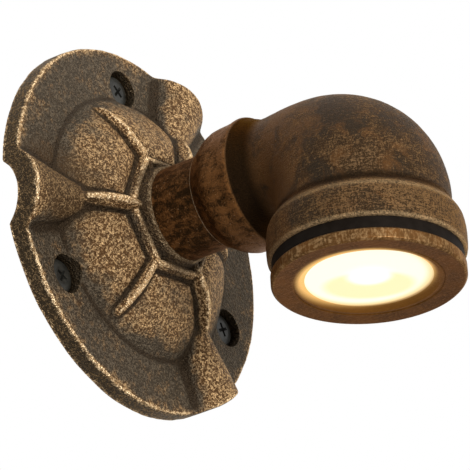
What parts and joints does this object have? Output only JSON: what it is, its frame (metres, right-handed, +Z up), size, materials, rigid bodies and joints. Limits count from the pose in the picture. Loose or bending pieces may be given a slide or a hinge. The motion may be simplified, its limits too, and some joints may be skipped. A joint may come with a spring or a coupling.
{
  "type": "industrial pipe wall light",
  "caption": "Wall light made like pipe fittings: cast flange with hollow arches, nipple, swivelling reducing elbow, and a round lamp with a lens held by a screw-on bezel.",
  "frame": {"origin": "where the pipe's axis meets the wall, in the flange's back face", "axes": "+Y into the wall, -Y out along the pipe, +Z up; the lamp shines along -Z at rest"},
  "size_m": [0.1074, 0.1123, 0.1074],
  "materials": {
    "cast_bronze": "sand cast, near-black brown rubbed with bronze",
    "pipe_bronze": "dark brown bronze paint, satin",
    "black_screw": "blackened steel",
    "bush_plastic": "matt black",
    "connector_plastic": "clear grey",
    "zinc_steel": "zinc plated",
    "tinned_copper": "tinned",
    "lead_brown": "brown insulation",
    "lead_blue": "blue insulation",
    "lead_green": "green insulation",
    "lead_red": "red insulation",
    "black_aluminium": "black anodised, satin",
    "thermal_grey": "soft grey",
    "board_white": "white solder mask",
    "led_yellow": "yellow silicone over the diodes",
    "reflector_white": "satin white",
    "gasket_grey": "soft",
    "lens_frosted": "frosted, softly domed",
    "bezel_bronze": "brushed, brown bronze",
    "driver_white": "white",
    "board_green": "green solder mask",
    "coil_yellow": "taped winding",
    "capacitor_black": "sleeved"
  },
  "bodies": {
    "wall_base": {"wall_flange": "cast_bronze", "wall_screws": "black_screw", "pipe_nipple": "pipe_bronze", "wire_bush": "bush_plastic", "push_in_connectors": "connector_plastic", "earth_screw": "zinc_steel", "earth_lug": "tinned_copper", "live_lead": "lead_brown", "neutral_lead": "lead_blue", "earth_lead": "lead_green"},
    "elbow_arm": {"reducing_elbow": "cast_bronze", "lamp_housing": "black_aluminium", "thermal_pad": "thermal_grey", "led_board": "board_white", "led_chip": "led_yellow", "board_screws": "zinc_steel", "reflector": "reflector_white", "driver_case": "driver_white", "driver_lid": "driver_white", "driver_board": "board_green", "driver_transformer": "coil_yellow", "driver_capacitor": "capacitor_black", "lamp_leads": "lead_red"},
    "lens_unit": {"lens": "lens_frosted", "lens_gasket": "gasket_grey"},
    "bezel": {"bezel_ring": "bezel_bronze"}
  },
  "joints": [
    {"name": "elbow_swivel", "type": "hinge", "parent": "wall_base", "child": "elbow_arm", "pos_m": [0, -0.0468, 0], "axis": [0, -1, 0], "range_deg": [-90, 90]},
    {"name": "lens_travel", "type": "slide", "parent": "elbow_arm", "child": "lens_unit", "axis": [0, 0, -1], "range_m": [0, 0.002]},
    {"name": "bezel_turn", "type": "hinge", "parent": "lens_unit", "child": "bezel", "pos_m": [0, -0.0809, -0.0394], "axis": [0, 0, -1], "range_deg": [0, 720]}
  ],
  "couplings": [
    {"joint": "bezel_turn", "follows": "lens_travel", "rad_per_m": 6283.2}
  ]
}
